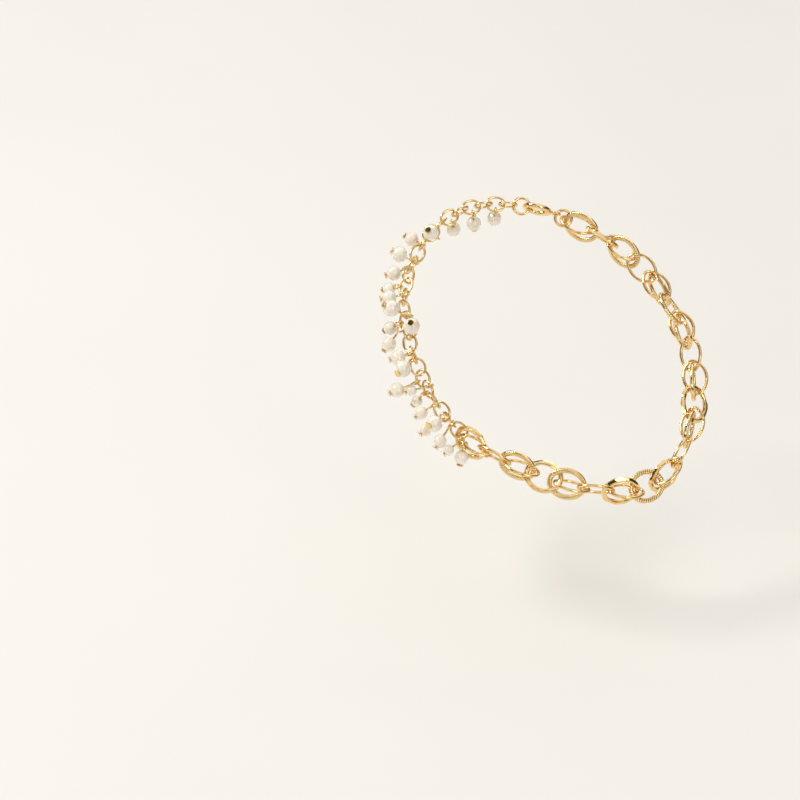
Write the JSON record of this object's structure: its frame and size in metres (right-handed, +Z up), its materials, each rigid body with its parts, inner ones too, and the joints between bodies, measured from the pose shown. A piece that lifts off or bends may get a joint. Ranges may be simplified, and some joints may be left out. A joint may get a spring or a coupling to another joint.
{
  "type": "chain anklet",
  "caption": "Gold-toned chain anklet: paired oval links on one half, a fine cable chain hung with pearl drops on the other, closed by a spring ring.",
  "frame": {"origin": "middle of the closed loop, on the line of the ankle that wears it", "axes": "+X towards the heel, +Y towards the far side of the ankle, +Z up the leg"},
  "size_m": [0.0908, 0.0727, 0.0548],
  "materials": {
    "gold_metal": "polished gold plate",
    "pearl": "soft pearl lustre"
  },
  "bodies": {
    "root": {"cable_chain_1": "gold_metal", "cable_chain_2": "gold_metal", "cable_chain_3": "gold_metal", "cable_chain_4": "gold_metal", "cable_chain_5": "gold_metal", "clasp": "gold_metal", "head_pins_1": "gold_metal", "head_pins_2": "gold_metal", "head_pins_3": "gold_metal", "head_pins_4": "gold_metal", "jump_ring_1": "gold_metal", "jump_ring_2": "gold_metal", "oval_link_01": "gold_metal", "oval_link_02": "gold_metal", "oval_link_03": "gold_metal", "oval_link_04": "gold_metal", "oval_link_05": "gold_metal", "oval_link_06": "gold_metal", "oval_link_07": "gold_metal", "oval_link_08": "gold_metal", "oval_link_09": "gold_metal", "oval_link_10": "gold_metal", "oval_link_11": "gold_metal", "oval_link_12": "gold_metal", "oval_link_13": "gold_metal", "oval_link_14": "gold_metal", "oval_link_15": "gold_metal", "oval_link_16": "gold_metal", "pearl_1": "pearl", "pearl_2": "pearl", "pearl_3": "pearl", "pearl_4": "pearl", "pearl_5": "pearl", "pearl_6": "pearl", "pearls_1": "pearl", "pearls_2": "pearl", "pearls_3": "pearl", "slim_link_01": "gold_metal", "slim_link_02": "gold_metal", "slim_link_03": "gold_metal", "slim_link_04": "gold_metal", "slim_link_05": "gold_metal", "slim_link_06": "gold_metal", "slim_link_07": "gold_metal", "slim_link_08": "gold_metal", "slim_link_09": "gold_metal", "slim_link_10": "gold_metal", "slim_link_11": "gold_metal", "slim_link_12": "gold_metal", "slim_link_13": "gold_metal", "slim_link_14": "gold_metal", "slim_link_15": "gold_metal", "slim_link_16": "gold_metal"}
  },
  "joints": []
}
